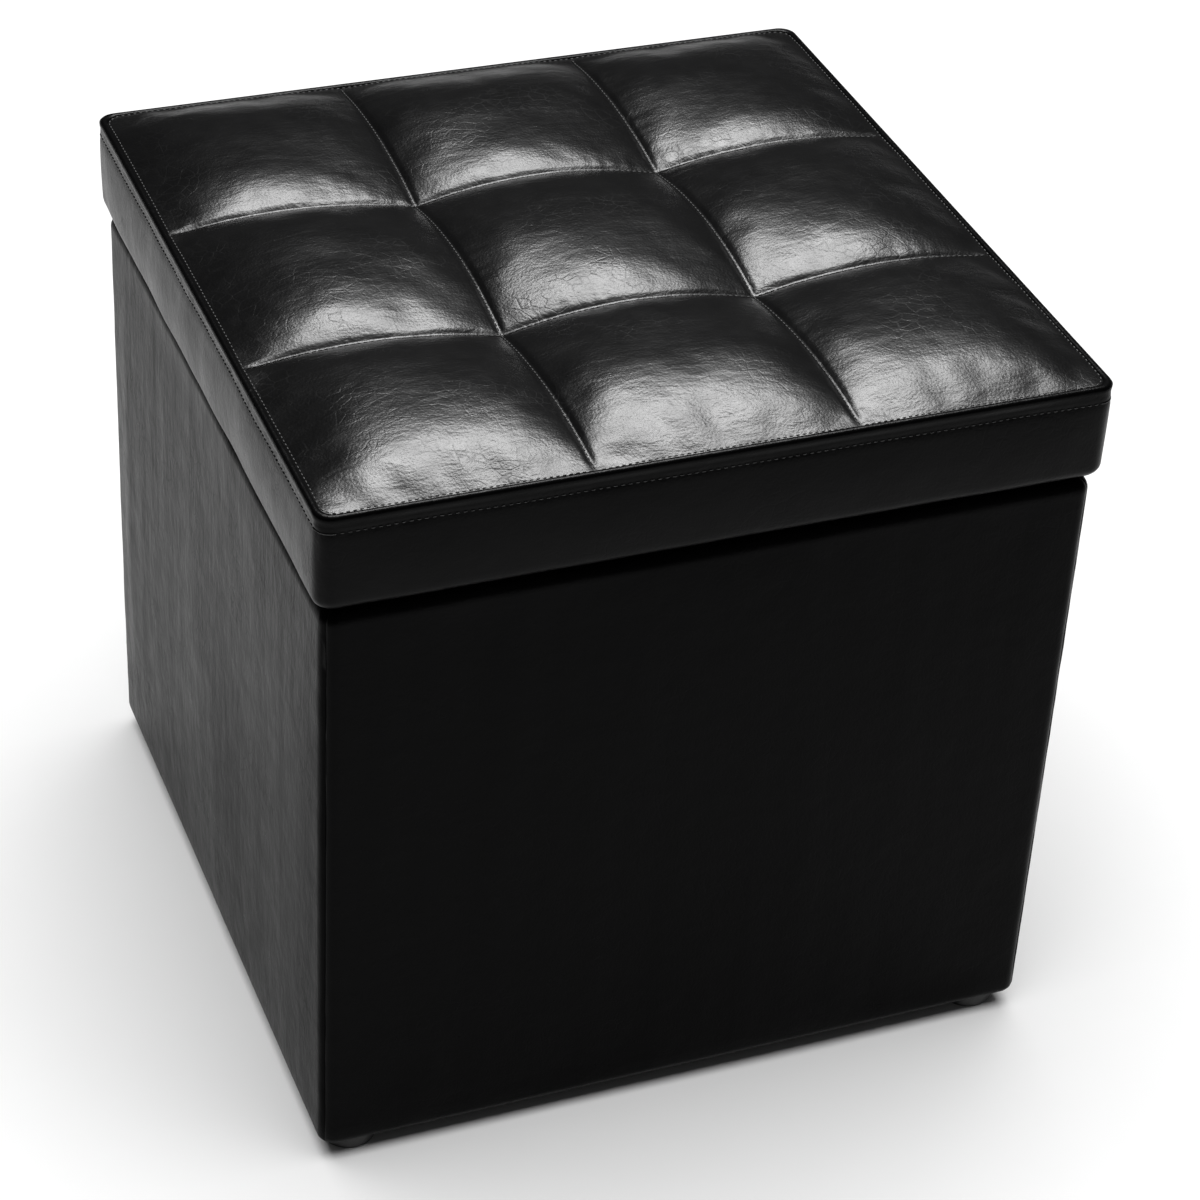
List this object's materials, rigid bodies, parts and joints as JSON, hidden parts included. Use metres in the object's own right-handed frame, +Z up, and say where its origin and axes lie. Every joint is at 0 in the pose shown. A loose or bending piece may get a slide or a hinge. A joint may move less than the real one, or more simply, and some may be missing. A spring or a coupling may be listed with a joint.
{
  "type": "storage ottoman",
  "caption": "Cube ottoman in black leather look: upholstered storage box on small round feet under a hinged lid with a quilted, tufted cushion top.",
  "frame": {"origin": "on the floor under the middle of the ottoman", "axes": "+Z up, -Y the front where the lid opens, +Y the hinged back, X across"},
  "size_m": [0.4, 0.4, 0.406],
  "materials": {
    "fibreboard": "raw medium-density fibreboard",
    "foam": "open-cell upholstery foam",
    "wadding": "white polyester wadding",
    "black_leather": "semi-gloss coated leather look with fine grain",
    "lining_cloth": "matt non-woven cloth",
    "foot_plastic": "moulded, slightly textured",
    "bumper_rubber": "matt",
    "black_thread": "polyester thread",
    "twine": "waxed tufting twine",
    "fastener_steel": "zinc plated",
    "hinge_steel": "nickel plated pressed steel"
  },
  "bodies": {
    "box": {"front_panel": "fibreboard", "back_panel": "fibreboard", "left_panel": "fibreboard", "right_panel": "fibreboard", "bottom_panel": "fibreboard", "box_screws": "fastener_steel", "front_foam": "foam", "back_foam": "foam", "left_foam": "foam", "right_foam": "foam", "front_cover": "black_leather", "back_cover": "black_leather", "left_cover": "black_leather", "right_cover": "black_leather", "wall_lining": "lining_cloth", "floor_lining": "lining_cloth", "lining_staples": "fastener_steel", "dust_cover": "lining_cloth", "dust_cover_staples": "fastener_steel", "front_left_foot": "foot_plastic", "front_right_foot": "foot_plastic", "back_left_foot": "foot_plastic", "back_right_foot": "foot_plastic", "foot_screws": "fastener_steel", "lid_bumpers": "bumper_rubber", "hinge_left_box_leaf": "hinge_steel", "hinge_right_box_leaf": "hinge_steel", "hinge_pins": "hinge_steel", "hinge_box_screws": "fastener_steel", "left_stay_wall_bracket": "hinge_steel", "right_stay_wall_bracket": "hinge_steel", "stay_wall_rivets": "hinge_steel", "stay_wall_screws": "fastener_steel"},
    "lid": {"lid_board": "fibreboard", "lid_foam": "foam", "lid_wadding": "wadding", "top_cover": "black_leather", "side_band": "black_leather", "topstitching": "black_thread", "tuft_twines": "twine", "tuft_washers": "fastener_steel", "lid_lining": "lining_cloth", "lid_lining_staples": "fastener_steel", "hinge_left_lid_leaf": "hinge_steel", "hinge_right_lid_leaf": "hinge_steel", "hinge_lid_screws": "fastener_steel", "left_stay_lid_bracket": "hinge_steel", "right_stay_lid_bracket": "hinge_steel", "stay_lid_rivets": "hinge_steel", "stay_lid_screws": "fastener_steel"},
    "left_lower_arm": {"left_stay_lower_arm": "hinge_steel", "left_stay_elbow_rivet": "hinge_steel"},
    "left_upper_arm": {"left_stay_upper_arm": "hinge_steel"},
    "right_lower_arm": {"right_stay_lower_arm": "hinge_steel", "right_stay_elbow_rivet": "hinge_steel"},
    "right_upper_arm": {"right_stay_upper_arm": "hinge_steel"}
  },
  "joints": [
    {"name": "lid_hinge", "type": "hinge", "parent": "box", "child": "lid", "pos_m": [0, 0.1969, 0.3439], "axis": [-1, 0, 0], "range_deg": [0, 95]},
    {"name": "left_stay_wall_pivot", "type": "hinge", "parent": "box", "child": "left_lower_arm", "pos_m": [-0.1774, 0.1569, 0.2239], "axis": [-1, 0, 0], "range_deg": [0, 95]},
    {"name": "left_stay_elbow", "type": "hinge", "parent": "left_lower_arm", "child": "left_upper_arm", "pos_m": [-0.1751, 0.0269, 0.2159], "axis": [1, 0, 0], "range_deg": [0, 95]},
    {"name": "right_stay_wall_pivot", "type": "hinge", "parent": "box", "child": "right_lower_arm", "pos_m": [0.1774, 0.1569, 0.2239], "axis": [-1, 0, 0], "range_deg": [0, 95]},
    {"name": "right_stay_elbow", "type": "hinge", "parent": "right_lower_arm", "child": "right_upper_arm", "pos_m": [0.1751, 0.0269, 0.2159], "axis": [1, 0, 0], "range_deg": [0, 95]}
  ],
  "couplings": [
    {"joint": "left_stay_wall_pivot", "follows": "lid_hinge", "ratio": 1},
    {"joint": "left_stay_elbow", "follows": "lid_hinge", "ratio": 1},
    {"joint": "right_stay_wall_pivot", "follows": "lid_hinge", "ratio": 1},
    {"joint": "right_stay_elbow", "follows": "lid_hinge", "ratio": 1}
  ]
}
